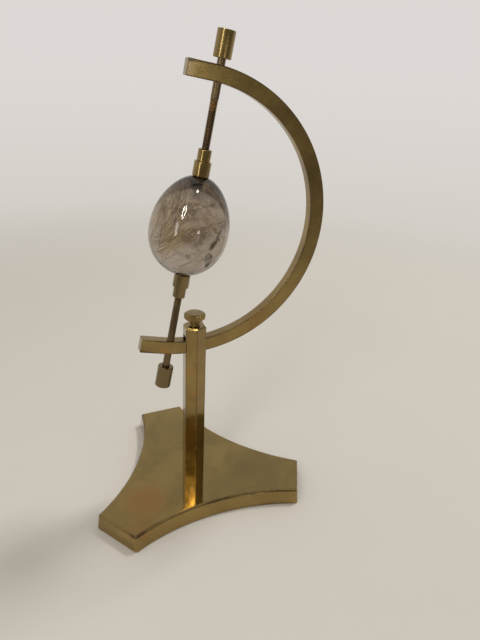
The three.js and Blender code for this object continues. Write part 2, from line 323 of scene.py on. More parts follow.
def marks_coordinates(tree, place, marks):
    """Coordinates in which a fine noise becomes tool marks."""
    if marks != "turned":
        scale = (260.0, 5200.0, 5200.0) if marks == "brushed" else (5200.0, 5200.0, 140.0)
        return add_node(tree, "Mapping", Vector=place, Scale=scale).outputs[0]
    x, y, z = add_node(tree, "SeparateXYZ", Vector=place).outputs
    rings = calc(tree, "MULTIPLY", length_of(tree, x, y), 5600.0)
    return add_node(tree, "CombineXYZ", X=rings, Y=calc(tree, "MULTIPLY", z, 5600.0)).outputs[0]


def steel():
    material, tree, shader, place = new_material("spring_steel")
    grain = noise(tree, marks_coordinates(tree, place, "turned"), 1.0, 3.0, 0.7)
    tone = blend(tree, noise(tree, place, 300.0), rgb(0.42, 0.43, 0.45), rgb(0.6, 0.6, 0.6))
    rough = spread(tree, grain, 0.3, 0.7, 0.2, 0.4)
    normal = bump(tree, grain, 0.00001)
    fill(tree, shader, Base_Color=tone, Roughness=rough, Normal=normal, Metallic=1.0)
    return material


def nylon():
    material, tree, shader, place = new_material("nylon")
    clouds = noise(tree, place, 260.0, 5.0)
    tone = blend(tree, clouds, rgb(0.68, 0.64, 0.53), rgb(0.78, 0.75, 0.66))
    rough = spread(tree, clouds, 0.3, 0.7, 0.42, 0.56)
    normal = bump(tree, noise(tree, place, 2600.0), 0.00003)
    fill(tree, shader, Base_Color=tone, Roughness=rough, Normal=normal)
    fill(tree, shader, Subsurface_Weight=0.1, Subsurface_Scale=0.001)
    return material


def leather():
    material, tree, shader, place = new_material("leather")
    cells = add_node(tree, "TexVoronoi", {"feature": "DISTANCE_TO_EDGE"}, Vector=place, Scale=2600.0)
    creases = spread(tree, cells.outputs[0], 0.0, 0.18)
    tone = blend(tree, noise(tree, place, 500.0), rgb(0.05, 0.028, 0.016), rgb(0.1, 0.06, 0.036))
    tone = blend(tree, creases, rgb(0.03, 0.018, 0.011), tone)
    rough = spread(tree, creases, 0.0, 1.0, 0.9, 0.6)
    fill(tree, shader, Base_Color=tone, Roughness=rough, Normal=bump(tree, creases, 0.00006))
    return material


def quartz():
    """Smoky quartz: clear, with a faint unevenness left by hand polishing."""
    material, tree, shader, place = new_material("quartz")
    rough = spread(tree, noise(tree, place, 160.0, 5.0, 0.65), 0.6, 0.85, 0.0, 0.03)
    normal = bump(tree, noise(tree, place, 60.0, 1.0), 0.000002)
    clear = rgb(0.97, 0.955, 0.94)
    fill(tree, shader, Base_Color=clear, Roughness=rough, Normal=normal, IOR=1.544, Transmission_Weight=1.0)
    smoke = add_node(tree, "VolumeAbsorption", Color=rgb(0.59, 0.49, 0.37), Density=50.0)
    tree.links.new(smoke.outputs[0], tree.nodes["Material Output"].inputs["Volume"])
    return material


def crystal(name, scale, bright, dark, rough, **inputs):
    """The gold of the needles inside the stone."""
    material, tree, shader, place = new_material(name)
    tone = blend(tree, noise(tree, place, scale), bright, dark)
    rough = spread(tree, noise(tree, place, 900.0), 0.3, 0.7, *rough)
    normal = bump(tree, noise(tree, place, 4000.0), 0.00001)
    fill(tree, shader, Base_Color=tone, Roughness=rough, Normal=normal, **inputs)
    return material


def veil(name, dark, light, cover, reach):
    """A cloudy sheet, for the inclusions and the painted shade dome: specks that thin out to nothing at
    `reach` from its middle.
    """
    material, tree, shader, place = new_material(name)
    cloud = noise(tree, place, 210.0, 7.0, 0.68, 0.6)
    inner = spread(tree, distance_from(tree, place), reach * 0.45, reach, 1.0, 0.0)
    alpha = calc(tree, "MULTIPLY", spread(tree, cloud, *cover), inner)
    tone, normal = blend(tree, cloud, dark, light), bump(tree, cloud, 0.0002)
    fill(tree, shader, Base_Color=tone, Alpha=alpha, Normal=normal, Roughness=0.7, Specular_IOR_Level=0.05)
    return material


POST_STAINS = [
    ((-3.0 * MM, -5.2 * MM, 76.0 * MM), 4.0 * MM, AMBER, 0.6),
    ((-1.5 * MM, -5.6 * MM, 62.0 * MM), 3.0 * MM, AMBER, 0.45),
    ((3.0 * MM, -5.0 * MM, 52.0 * MM), 4.0 * MM, TARNISH, 0.6),
]
ARC_STAINS = [
    ((-17.0 * MM, -3.0 * MM, 89.0 * MM), 4.0 * MM, AMBER, 0.5),
    ((-28.0 * MM, -3.0 * MM, 222.0 * MM), 2.5 * MM, BROWN, 0.6),
    ((34.0 * MM, -3.0 * MM, 103.0 * MM), 9.0 * MM, AMBER, 0.3),
]
FINE = 0.00000004
SHINY = {"coat_rough": 0.05, "grain_depth": FINE}
POLISHED = brass(
    "polished_brass", rough=(0.07, 0.16), marks="drawn", patches=POST_STAINS, edges=post_edges, **SHINY
)
ARC_BRASS = brass(
    "arc_brass", rough=(0.2, 0.3), patches=ARC_STAINS, wave=0.4, edges=arc_edges, grain_depth=FINE
)
TURNED = brass("turned_brass", marks="turned", rough=(0.15, 0.24), wave=0.03, grain_depth=FINE)
# A darker copy of the turned brass for the pieces under the stone: painted shade.
SHADED_CLEAN = rgb(0.225, 0.158, 0.06)
SHADED_TARNISH = rgb(0.155, 0.108, 0.045)
SHADED_TURNED = brass(
    "shaded_turned_brass", SHADED_CLEAN, SHADED_TARNISH, (0.2, 0.3), "turned", wave=0.03, grain_depth=FINE
)
# A dark reddish-brown band on the neck: its own colour, with painted shade under the screw head.
NECK_TONE_AND_SHADE = [((0, 0, 102.6 * MM), 3.2 * MM, rgb(0.17, 0.08, 0.03), 0.85)]
SCREW_BRASS = brass("screw_brass", marks="turned", rough=(0.2, 0.34), patches=NECK_TONE_AND_SHADE, wave=0.06)
ROD_CLEAN = rgb(0.18, 0.125, 0.054)
ROD_TARNISH = rgb(0.12, 0.076, 0.033)
GOLD = rgb(0.42, 0.25, 0.065)
ROD_GOLD = {
    "upper": [((0, 0, -6.6 * MM), 3.4 * MM, GOLD, 0.85), ((0, 0, 5.5 * MM), 3.0 * MM, GOLD, 0.7)],
    "lower": [((0, 0, 6.0 * MM), 3.4 * MM, GOLD, 0.7)],
}
ROD_BRASS = {
    side: brass(side + "_rod_brass", ROD_CLEAN, ROD_TARNISH, (0.3, 0.44), "turned", gold, wave=0.05)
    for side, gold in ROD_GOLD.items()
}
STEEL = steel()
NYLON = nylon()
LEATHER = leather()
QUARTZ = quartz()
RUTILE = crystal(
    "rutile", 300.0, rgb(0.95, 0.76, 0.28), rgb(0.4, 0.27, 0.09), (0.25, 0.5), Metallic=0.25
)
# The stout crystals: a very bright gold and a faint glow, a painted glint on their broad faces.
PAINTED_GLINT_GLOW = {"Emission_Color": rgb(1.0, 0.85, 0.4), "Emission_Strength": 0.15}
RUTILE_PAINTED_GLINT = crystal("rutile_painted_glint", 700.0, rgb(1.0, 0.93, 0.5), rgb(0.95, 0.75, 0.3), (0.2, 0.4), **PAINTED_GLINT_GLOW)
CLOUD = veil("cloud_veil", rgb(0.3, 0.24, 0.2), rgb(0.62, 0.55, 0.5), (0.4, 0.7, 0.0, 0.7), 0.014)
CRACK = veil("dark_veil", rgb(0.06, 0.036, 0.018), rgb(0.14, 0.09, 0.05), (0.35, 0.6, 0.1, 0.9), 0.0075)
# A dark, cloudy sheet for the dome under the stone's top: painted shade.
TOP_SHADE_VEIL = veil("top_shade_veil", rgb(0.05, 0.035, 0.024), rgb(0.16, 0.12, 0.09), (0.34, 0.7, 0.12, 0.62), 0.0215)

# ---- mesh helpers


def mesh_object(name, made, place=Matrix.Identity(4), crease=32.0):
    """Turns a bmesh into an object. Edges sharper than `crease` degrees stay crisp."""
    bmesh.ops.recalc_face_normals(made, faces=made.faces)
    mesh = bpy.data.meshes.new(name)
    made.to_mesh(mesh)
    made.free()
    obj = link_object(name, mesh, place)
    shade(obj, crease)
    return obj


def bridge(made, lower, upper):
    """Joins two rings of vertices with faces. A ring may be a single vertex."""
    count = max(len(lower), len(upper))
    for i in range(count):
        j = (i + 1) % count
        if len(lower) == 1:
            made.faces.new((lower[0], upper[i], upper[j]))
        elif len(upper) == 1:
            made.faces.new((lower[i], lower[j], upper[0]))
        else:
            made.faces.new((lower[i], lower[j], upper[j], upper[i]))


def even_normals(obj):
    """Lets each large face keep its own direction beside a rounded edge, so that it reflects as flat."""
    modifier = obj.modifiers.new("normals", "WEIGHTED_NORMAL")
    modifier.keep_sharp = True
    apply_modifiers(obj)


def set_material(obj, material):
    obj.data.materials.clear()
    obj.data.materials.append(material)


def finish_piece(obj, body, slot, material, *nodes):
    """Gives a piece its material and its body, evens the normals of brass pieces, and hides the CAD nodes
    it stands for.
    """
    if slot.endswith("brass"):
        even_normals(obj)
    set_material(obj, material)
    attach(obj, body)
    if nodes:
        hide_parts(*nodes)
    return obj


def rounded(corners, steps=5):
    """A line through (x, y, radius) corners, each turned into an arc of that radius."""
    points = []
    last = len(corners) - 1
    for i, (x, y, radius) in enumerate(corners):
        here = Vector((x, y))
        if radius == 0 or i in (0, last):
            points.append(here)
            continue
        before = (Vector(corners[i - 1][:2]) - here).normalized()
        after = (Vector(corners[i + 1][:2]) - here).normalized()
        half = before.angle(after) / 2
        centre = here + (before + after).normalized() * radius / math.sin(half)
        start = here + before * radius / math.tan(half) - centre
        end = here + after * radius / math.tan(half) - centre
        first = math.atan2(start.y, start.x)
        sweep = math.remainder(math.atan2(end.y, end.x) - first, math.tau)
        for step in range(steps + 1):
            angle = first + sweep * step / steps
            points.append(centre + Vector((math.cos(angle), math.sin(angle))) * radius)
    return points


def lathe(name, place, profile, segments=96, shape=None, closed=False):
    """A solid of revolution about Z of `place`. shape(angle, radius, height) may change the radius."""
    made = bmesh.new()
    rings = []
    for radius, height in profile:
        if radius < 1e-9:
            rings.append([made.verts.new((0, 0, height))])
            continue
        ring = []
        for i in range(segments):
            angle = math.tau * i / segments
            r = shape(angle, radius, height) if shape else radius
            ring.append(made.verts.new((r * math.cos(angle), r * math.sin(angle), height)))
        rings.append(ring)
    pairs = list(zip(rings, rings[1:]))
    if closed:
        pairs.append((rings[-1], rings[0]))
    for lower, upper in pairs:
        bridge(made, lower, upper)
    return mesh_object(name, made, place)


def skin(name, rows, place=Matrix.Identity(4), crease=32.0):
    """A closed body through rows of points, with a flat face over the first and the last row."""
    made = bmesh.new()
    rings = [[made.verts.new(point) for point in row] for row in rows]
    for lower, upper in zip(rings, rings[1:]):
        bridge(made, lower, upper)
    made.faces.new(rings[0])
    made.faces.new(rings[-1])
    return mesh_object(name, made, place, crease)


def apply_modifiers(obj):
    """Replaces the object's mesh by what its modifiers make of it."""
    bpy.context.view_layer.update()
    graph = bpy.context.evaluated_depsgraph_get()
    made = bpy.data.meshes.new_from_object(obj.evaluated_get(graph))
    obj.modifiers.clear()
    old = obj.data
    obj.data = made
    bpy.data.meshes.remove(old)


def carve(obj, *tools):
    """Cuts the tools out of the object and removes them."""
    for tool in tools:
        modifier = obj.modifiers.new("carve", "BOOLEAN")
        modifier.operation = "DIFFERENCE"
        modifier.solver = "EXACT"
        modifier.object = tool
    apply_modifiers(obj)
    for tool in tools:
        bpy.data.objects.remove(tool)


def soften(obj, width, angle, segments=3):
    """Rounds every edge sharper than `angle` degrees."""
    modifier = obj.modifiers.new("soften", "BEVEL")
    modifier.width = width
    modifier.segments = segments
    modifier.limit_method = "ANGLE"
    modifier.angle_limit = math.radians(angle)
    modifier.miter_outer = "MITER_ARC"
    apply_modifiers(obj)


def shade(obj, crease):
    """Smooths the surface, but keeps edges sharper than `crease` degrees crisp."""
    obj.data.shade_smooth()
    obj.data.set_sharp_from_angle(angle=math.radians(crease))


# ---- base plate


def base_outline(inset, z):
    """The three-armed outline at height z, drawn in by `inset`. Millimetres in, metres out."""
    reach = BASE["reach"] - inset
    half_width = BASE["half_width"] - inset
    waist = BASE["waist"] - inset
    third = math.tau / 3
    corner = Vector((reach, half_width))
    bisector = Vector((math.cos(third / 2), math.sin(third / 2)))
    distance = (corner.length_squared - waist**2) / (2 * (corner.dot(bisector) - waist))
    radius = distance - waist
    centre = bisector * distance
    half_sweep = (corner - centre).angle(-bisector)
    away = math.pi + third / 2
    side = []
    steps = 56
    for i in range(steps + 1):
        angle = away + half_sweep * (1 - 2 * i / steps)
        side.append(centre + Vector((math.cos(angle), math.sin(angle))) * radius)
    # One third of the outline, from the middle of one arm's end to the middle of the next.
    if (side[0] - corner).length > (side[-1] - corner).length:
        side.reverse()
    next_end = Matrix.Rotation(third, 2) @ Vector((reach, 0))
    round_off = max(BASE["corner_round"] - inset, 0.25)
    stretch = [Vector((reach, 0)), *side, next_end]
    marked = [(p.x, p.y, round_off if p in (side[0], side[-1]) else 0) for p in stretch]
    smooth = rounded(marked, 4)
    points = []
    for arm in range(3):
        turn = Matrix.Rotation(math.radians(BASE["azimuth"]) + arm * third, 2)
        points += [turn @ p for p in smooth[:-1]]
    return [(p.x * MM, p.y * MM, z) for p in points]


def make_base():
    low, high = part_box("base_plate")
    thickness = high.z / MM
    rows = []

    def level(z, inset):
        leaned = inset - BASE["flare"] * (1 - z / thickness)
        rows.append(base_outline(leaned, low.z + z * MM))

    foot, top = BASE["foot_round"], BASE["top_round"]
    steps = 6
    for i in range(steps + 1):
        angle = math.pi / 2 * i / steps
        level(foot * (1 - math.cos(angle)), foot * (1 - math.sin(angle)))
    for share in (0.3, 0.6):
        level(foot + (thickness - foot - top) * share, 0)
    for i in range(steps + 3):
        angle = math.pi / 2 * i / (steps + 2)
        level(thickness - top * (1 - math.sin(angle)), top * (1 - math.cos(angle)))
    return skin("base_plate_body", rows, crease=40)


def arm_point(azimuth, distance, z):
    """A point over one of the base's arms, in metres."""
    angle = math.radians(azimuth)
    return (distance * MM * math.cos(angle), distance * MM * math.sin(angle), z)


base_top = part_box("base_plate")[1].z
front_arm = BASE["azimuth"] - 120
base_patches = [
    (arm_point(front_arm, 38, base_top), 0.014, AMBER, 0.75),
    (arm_point(front_arm + 12, 56, base_top), 0.009, AMBER, 0.5),
    (arm_point(BASE["azimuth"], 30, base_top), 0.010, TARNISH, 0.6),
]
BASE_CLEAN = rgb(0.36, 0.25, 0.08)
BASE_TARNISH = rgb(0.275, 0.19, 0.062)
BASE_BRASS = brass(
    "base_brass", BASE_CLEAN, BASE_TARNISH, (0.05, 0.12), "brushed", base_patches, 0.5, base_edges, **SHINY
)
finish_piece(make_base(), "stand", "polished_brass", BASE_BRASS, "base_plate")

# ---- post


def stadium(name, half_width, low, high, length):
    """A round-ended bar along X, for cutting a slot."""
    rows = []
    steps = 20
    for x in (-length / 2, length / 2):
        row = []
        for centre, start in ((high - half_width, 0.0), (low + half_width, math.pi)):
            for i in range(steps + 1):
                angle = start + math.pi * i / steps
                row.append((x, half_width * math.cos(angle), centre + half_width * math.sin(angle)))
        rows.append(row)
    return skin(name, rows)


def make_post():
    low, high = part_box("post")
    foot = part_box("base_plate")[1].z
    radius = high.y
    cut = POST["top_cut"] * MM
    rows = []
    for z, inset in ((foot, 0), (high.z - cut, 0), (high.z, cut * 0.8)):
        corners = [math.tau * (i + 0.5) / 6 for i in range(6)]
        rows.append([((radius - inset) * math.cos(a), (radius - inset) * math.sin(a), z) for a in corners])
    post = skin("post_body", rows)
    slot = stadium("slot", SLOT["half_width"] * MM, SLOT["bottom"] * MM, SLOT["top"] * MM, 4 * radius)
    bore, deep, clear = POST["screw_hole"] * MM, (SLOT["bottom"] + SLOT["top"]) / 2 * MM, high.z + cut
    hole = lathe("hole", Matrix.Identity(4), [(0, deep), (bore, deep), (bore, clear), (0, clear)], 48)
    carve(post, slot, hole)
    soften(post, POST["edge_round"] * MM, 28)
    shade(post, 25)
    return post


finish_piece(make_post(), "stand", "polished_brass", POLISHED, "post")

# ---- meridian arc


def bar_section(height, depth, round_off, inset=0.0):
    """A rounded rectangle: (outwards, sideways) offsets from the middle of the bar."""
    half = Vector((height / 2 - inset, depth / 2 - inset))
    radius = max(round_off - inset, round_off * 0.15)
    offsets = []
    steps = 4
    for quarter in range(4):
        sx = 1 if quarter in (0, 3) else -1
        sy = 1 if quarter in (0, 1) else -1
        for i in range(steps + 1):
            angle = math.pi / 2 * (quarter + i / steps)
            x = sx * (half.x - radius) + radius * math.cos(angle)
            y = sy * (half.y - radius) + radius * math.sin(angle)
            offsets.append((x, y))
    return offsets


def arc_stations(radius):
    """(place, outwards direction, inset) along the bar, from the lower tip to the upper one."""
    lower, upper = math.radians(ARC["lower_end"]), math.radians(ARC["upper_end"])
    round_off = ARC["edge_round"] * MM
    stations = []

    def straight(angle, run, inset):
        out = Vector((math.cos(angle), 0, math.sin(angle)))
        onwards = Vector((-math.sin(angle), 0, math.cos(angle)))
        stations.append((out * radius + onwards * run, out, inset))

    def rounded_end(angle, run, side):
        for i in range(steps + 1):
            turn = math.pi / 2 * i / steps
            back = round_off * (1 - math.sin(turn))
            straight(angle, run - side * back, round_off * (1 - math.cos(turn)))

    steps = 5
    lower_tip, upper_tip = -ARC["lower_tip"] * MM, ARC["upper_tip"] * MM
    rounded_end(lower, lower_tip, -1)
    stations.reverse()
    for share in (0.66, 0.33):
        straight(lower, lower_tip * share, 0)
    sweep_steps = 150
    for i in range(sweep_steps + 1):
        straight(lower + (upper - lower) * i / sweep_steps, 0, 0)
    for share in (0.33, 0.66):
        straight(upper, upper_tip * share, 0)
    rounded_end(upper, upper_tip, 1)
    return stations


def drill(name, place, radius, low, high, lead):
    """A drill through a bar, with a cone at each face for the lead-in."""
    wide = radius + lead
    profile = [(0, low - lead), (wide + lead, low - lead), (radius, low + lead)]
    profile += [(radius, high - lead), (wide + lead, high + lead), (0, high + lead)]
    return lathe(name, place, profile, 48)


def make_arc():
    low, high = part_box("meridian_arc")
    height, depth = ARC_OUTER - ARC_INNER, high.y - low.y
    rows = []
    for spot, out, inset in arc_stations((ARC_INNER + ARC_OUTER) / 2):
        section = bar_section(height, depth, ARC["edge_round"] * MM, inset)
        rows.append([ARC_CENTRE + spot + out * x + Vector((0, y, 0)) for x, y in section])
    arc = skin("meridian_arc_body", rows, crease=30)
    drills = []
    for side, place in SPINDLE_PLACES.items():
        radius = node_span(side + "_rod", place)[2] + ROD["hole_gap"] * MM
        drills.append(drill(side + "_drill", place, radius, *bar_crossing(place), 0.25 * MM))
    carve(arc, *drills)
    shade(arc, 30)
    return arc


def bar_crossing(place):
    """Where the axis of `place` enters and leaves the arc's bar, as distances along it."""
    start = place.translation - ARC_CENTRE
    along = place.to_3x3().col[2]
    middle = -start.dot(along)
    clear = (start + along * middle).length
    return tuple(middle + math.sqrt(r * r - clear * clear) for r in (ARC_INNER, ARC_OUTER))


SPINDLE_PLACES = {"upper": joint_place("upper_turn"), "lower": joint_place("lower_turn")}
finish_piece(make_arc(), "arc", "polished_brass", ARC_BRASS, "meridian_arc")

# ---- clamp screw


def thread(pitch, depth, start, end, fade):
    """A shape function for lathe(): a right-hand thread between two heights, running out at both."""

    def shape(angle, radius, height):
        if not start < height < end:
            return radius
        amount = min(1.0, (height - start) / fade, (end - height) / fade)
        turn = (height / pitch - angle / math.tau) % 1.0
        groove = min(1.0, max(0.0, 1.7 * (1 - abs(2 * turn - 1)) - 0.35))
        return radius - depth * amount * groove

    return shape


def thread_rows(radius, start, end, pitch):
    """Profile points close enough together to carry a thread."""
    count = max(2, round((end - start) / pitch * 8))
    return [(radius, start + (end - start) * i / count) for i in range(count + 1)]


def make_clamp_screw():
    place = joint_place("clamp_turn")
    low, high, head = node_span("clamp_screw", place)
    head_bottom = high - 3.7 * MM
    pitch = SCREW["pitch"] * MM
    body = SCREW["radius"] * MM
    tip = 1.3 * MM
    shank_start = low + 1.8 * MM
    corners = [
        (2.6 * MM, head_bottom, 0),
        (head - 0.75 * MM, head_bottom, 0.4 * MM),
        (head, head_bottom + 0.85 * MM, 0.35 * MM),
        (head, high - 0.95 * MM, 0.6 * MM),
        (head - 1.3 * MM, high - 0.12 * MM, 2.2 * MM),
        (0, high, 0),
    ]
    rim = rounded(corners)
    flat = []
    for i in range(1, len(rim)):
        if (rim[i] - rim[i - 1]).length > 0.5 * MM:
            flat += [rim[i - 1].lerp(rim[i], share) for share in (0.25, 0.5, 0.75)]
        flat.append(rim[i])
    lower = [(0, low), (tip - 0.2 * MM, low), (tip, low + 0.2 * MM)]
    lower += [(tip, shank_start), (body - 0.5 * MM, shank_start)]
    shank = thread_rows(body, shank_start + 0.3 * MM, head_bottom - 0.35 * MM, pitch)
    neck = [(body - 0.4 * MM, head_bottom - 0.2 * MM), (body - 0.4 * MM, head_bottom)]
    turns = thread(pitch, SCREW["thread_depth"] * MM, shank[0][1], shank[-1][1], pitch)
    window_low, window_high = head_bottom + 0.3 * MM, high - 0.35 * MM

    def shape(angle, radius, height):
        if height < head_bottom:
            return turns(angle, radius, height)
        edge = min(height - window_low, window_high - height, radius - (head - 1.0 * MM))
        amount = max(0.0, min(1.0, edge / (0.45 * MM)))
        flute = (0.5 + 0.5 * math.cos(SCREW["flutes"] * angle)) ** 1.6
        return radius - SCREW["flute_depth"] * MM * amount * flute

    profile = lower + shank + neck + [tuple(p) for p in flat]
    return lathe("clamp_screw_body", place, profile, SCREW["flutes"] * 10, shape)


finish_piece(make_clamp_screw(), "thumb_screw", "turned_brass", SCREW_BRASS, "clamp_screw")

# ---- spindles


def make_rod(side, place):
    """A spindle: a screw thread, and a smooth stretch near the arc and up to the knob."""
    low, high, radius = node_span(side + "_rod", place)
    near, _ = bar_crossing(place)
    groove_low, groove_high, _ = node_span(side + "_rod_clip", place)
    smooth_from = near - ROD["smooth_below_arc"] * MM if side == "upper" else near + 1.5 * MM
    pitch = ROD["pitch"] * MM
    edge = 0.3 * MM
    groove = radius - 0.4 * MM
    start = [(0, low), (radius - edge, low), (radius, low + edge), (radius, groove_low - edge)]
    clip_groove = [(groove, groove_low - edge), (groove, groove_high + edge), (radius, groove_high + edge)]
    threaded = thread_rows(radius, groove_high + 2 * edge, smooth_from, pitch)
    end = [(radius, high - edge), (radius - edge, high), (0, high)]
    turns = thread(pitch, ROD["thread_depth"] * MM, threaded[0][1], smooth_from, 2 * pitch)
    return lathe(side + "_rod_body", place, start + clip_groove + threaded + end, 40, turns)


def make_knob(side, place):
    low, high, radius = node_span(side + "_knob", place)
    bore = node_span(side + "_rod", place)[2] + 0.08 * MM
    depth = low + 9.4 * MM
    edge = 0.4 * MM
    profile = [
        (0, depth, 0),
        (bore, depth, 0),
        (bore, low, 0.2 * MM),
        (radius, low, edge),
        (radius, high, edge),
        (0, high, 0),
    ]
    return lathe(side + "_knob_body", place, rounded(profile))


def make_cup(side, place):
    """The wide part of the holder, open towards the stone."""
    low, high, radius = node_span(side + "_cup", place)
    recess = radius - CUP["rim_wall"] * MM
    chamber = 2.7 * MM
    floor = low + CUP["recess"] * MM
    profile = [
        (0, floor, 0),
        (recess, floor, 0),
        (recess, low, 0.15 * MM),
        (radius, low, 0.3 * MM),
        (radius, high, 0.3 * MM),
        (chamber, high, 0),
        (chamber, floor + 1.0 * MM, 0),
        (0, floor + 1.0 * MM, 0),
    ]
    return lathe(side + "_cup_body", place, rounded(profile))


def make_bush(side, place):
    """The narrow collar between cup and rod."""
    cup_top = node_span(side + "_cup", place)[1]
    low, high, radius = node_span(side + "_bush", place)
    bore = node_span(side + "_rod", place)[2] + 0.1 * MM
    spigot = 2.6 * MM
    profile = [
        (bore, low, 0),
        (spigot, low, 0),
        (spigot, cup_top + 0.05 * MM, 0),
        (radius, cup_top + 0.05 * MM, 0.2 * MM),
        (radius, high, 0.55 * MM),
        (bore, high, 0.15 * MM),
        (bore, (low + high) / 2, 0),
    ]
    return lathe(side + "_bush_body", place, rounded(profile), closed=True)


# ---- quartz egg


def egg_place():
    """A frame at the middle of the egg with Z along it, and the egg's half length."""
    points = node_points("quartz_egg")
    middle = sum(points, Vector()) / len(points)
    first = max(points, key=lambda p: (p - middle).length)
    second = max(points, key=lambda p: (p - first).length)
    top, bottom = (first, second) if first.z > second.z else (second, first)
    return facing(top - bottom, (top + bottom) / 2), (top - bottom).length / 2


EGG_PLACE, EGG_HALF = egg_place()


def egg_shape(share):
    """The egg's radius at a height share (-1 bottom, 1 top), as a share of its middle radius."""
    return math.sqrt(max(0.0, 1 - share * share)) * (1 - EGG["taper"] * share)


EGG_RADIUS = node_span("quartz_egg", EGG_PLACE)[2] / max(egg_shape(i / 50) for i in range(-50, 50))


def inside_egg(point, margin):
    """True if a point, given in the egg's own frame, lies at least about `margin` under the surface."""
    share = point.z / (EGG_HALF - margin)
    return abs(share) < 1 and math.hypot(point.x, point.y) < (EGG_RADIUS - margin) * egg_shape(share)


def make_egg():
    rows = 96
    profile = []
    for i in range(rows + 1):
        share = -math.cos(math.pi * i / rows)
        radius = 0 if i in (0, rows) else EGG_RADIUS * egg_shape(share)
        profile.append((radius, EGG_HALF * share))
    return lathe("quartz_egg_body", EGG_PLACE, profile, 128)


def camera_direction(right, up, back):
    """A direction given as the camera sees it, in the egg's own frame."""
    turn = bpy.context.scene.camera.matrix_world.to_3x3()
    return (EGG_PLACE.to_3x3().inverted() @ (turn @ Vector((right, up, back)))).normalized()


def add_needle(made, start, end, radius, bow):
    """A slim six-sided crystal between two points, slightly bowed and pointed at both ends."""
    along = (end - start).normalized()
    side = along.orthogonal().normalized()
    other = along.cross(side)
    rings = []
    for share, width in ((0.0, 0.15), (0.08, 1.0), (0.36, 1.0), (0.64, 1.0), (0.92, 1.0), (1.0, 0.15)):
        middle = start.lerp(end, share) + bow * (1 - (2 * share - 1) ** 2)
        ring = []
        for i in range(6):
            angle = math.tau * i / 6
            offset = side * math.cos(angle) + other * math.sin(angle)
            ring.append(made.verts.new(middle + offset * radius * width))
        rings.append(ring)
    for lower, upper in zip(rings, rings[1:]):
        bridge(made, lower, upper)
    made.faces.new(rings[0])
    made.faces.new(rings[-1])


# Each spray: (direction across, up, towards the viewer; where; how wide; how many; thickness; length)
NEEDLES = [
    ((0.85, 0.53, 0.1), (-0.35, -0.4, 0.4), 0.17, 50, 0.075, (0.2, 0.75)),
    ((0.38, 0.93, 0.1), (-0.5, 0.0, 0.2), 0.24, 44, 0.06, (0.3, 0.85)),
    ((0.3, 0.95, -0.1), (-0.35, 0.55, 0.3), 0.22, 40, 0.055, (0.2, 0.6)),
    ((0.9, 0.1, 0.3), (0.1, -0.1, -0.2), 0.35, 18, 0.05, (0.2, 0.75)),
    ((-0.5, 0.8, 0.1), (0.4, 0.1, 0.1), 0.3, 24, 0.05, (0.2, 0.75)),
    ((0.7, 0.5, 0.3), (0.3, -0.5, 0.1), 0.3, 30, 0.055, (0.2, 0.75)),
]
STOUT_NEEDLES = [
    ((0.85, 0.53, 0.1), (-0.25, -0.5, 0.72), 0.16, 22, 0.17, (0.014, 0.03)),
    ((0.85, 0.53, 0.1), (0.5, -0.5, 0.5), 0.16, 6, 0.15, (0.012, 0.025)),
    ((0.85, 0.53, 0.1), (-0.42, -0.6, 0.6), 0.08, 6, 0.065, (0.2, 0.4)),
]


def make_needles(name, sprays, seed):
    """Golden rutile: a few sprays that share a direction, and loose hairs between them."""
    chance = random.Random(seed)
    made = bmesh.new()
    for direction, where, width, count, thickness, reach in sprays:
        main = camera_direction(*direction)
        middle = camera_direction(*where) * Vector(where).length * EGG_RADIUS
        for _ in range(count):
            scatter = Vector([chance.gauss(0, 1) for _ in range(3)])
            along = (main + scatter * 0.16).normalized()
            spot = middle + Vector([chance.gauss(0, 1) for _ in range(3)]) * width * EGG_RADIUS
            half = along * EGG_RADIUS * chance.uniform(*reach)
            start, end = spot - half, spot + half
            margin = EGG["skin"] * MM
            for _ in range(12):
                if not inside_egg(start, margin):
                    start = start.lerp(spot, 0.25)
                if not inside_egg(end, margin):
                    end = end.lerp(spot, 0.25)
            if not (inside_egg(start, margin) and inside_egg(end, margin)):
                continue
            bow = along.orthogonal() * chance.uniform(-0.03, 0.03) * (end - start).length
            add_needle(made, start, end, thickness * MM * chance.uniform(0.5, 1.2), bow)
    return mesh_object(name, made, EGG_PLACE, 50)


def make_veil(name, centre, across, upward, size, bend, seed):
    """A crumpled sheet inside the egg, cut to stay under the surface."""
    chance = random.Random(seed)
    across, upward = camera_direction(*across), camera_direction(*upward)
    middle = camera_direction(*centre) * Vector(centre).length * EGG_RADIUS
    out = across.cross(upward).normalized()
    waves = [(chance.uniform(2, 6), chance.uniform(2, 6), chance.uniform(0, 6.3)) for _ in range(4)]
    made = bmesh.new()
    steps = 30
    grid = {}
    origin = Matrix.Translation(-middle)
    for i in range(steps + 1):
        for j in range(steps + 1):
            u, v = 2 * i / steps - 1, 2 * j / steps - 1
            if u * u + v * v > 1:
                continue
            rise = sum(math.sin(a * u + b * v + c) for a, b, c in waves) / 4
            spot = middle + (across * u * size[0] + upward * v * size[1]) * EGG_RADIUS
            spot += out * (bend * (u * u + v * v) + 0.06 * rise) * EGG_RADIUS
            if inside_egg(spot, EGG["skin"] * MM):
                grid[i, j] = made.verts.new(origin @ spot)
    for (i, j), corner in grid.items():
        others = [grid.get(key) for key in ((i + 1, j), (i + 1, j + 1), (i, j + 1))]
        if None not in others:
            made.faces.new((corner, *others))
    loose = [v for v in made.verts if not v.link_faces]
    bmesh.ops.delete(made, geom=loose, context="VERTS")
    return mesh_object(name, made, EGG_PLACE @ Matrix.Translation(middle), 80)


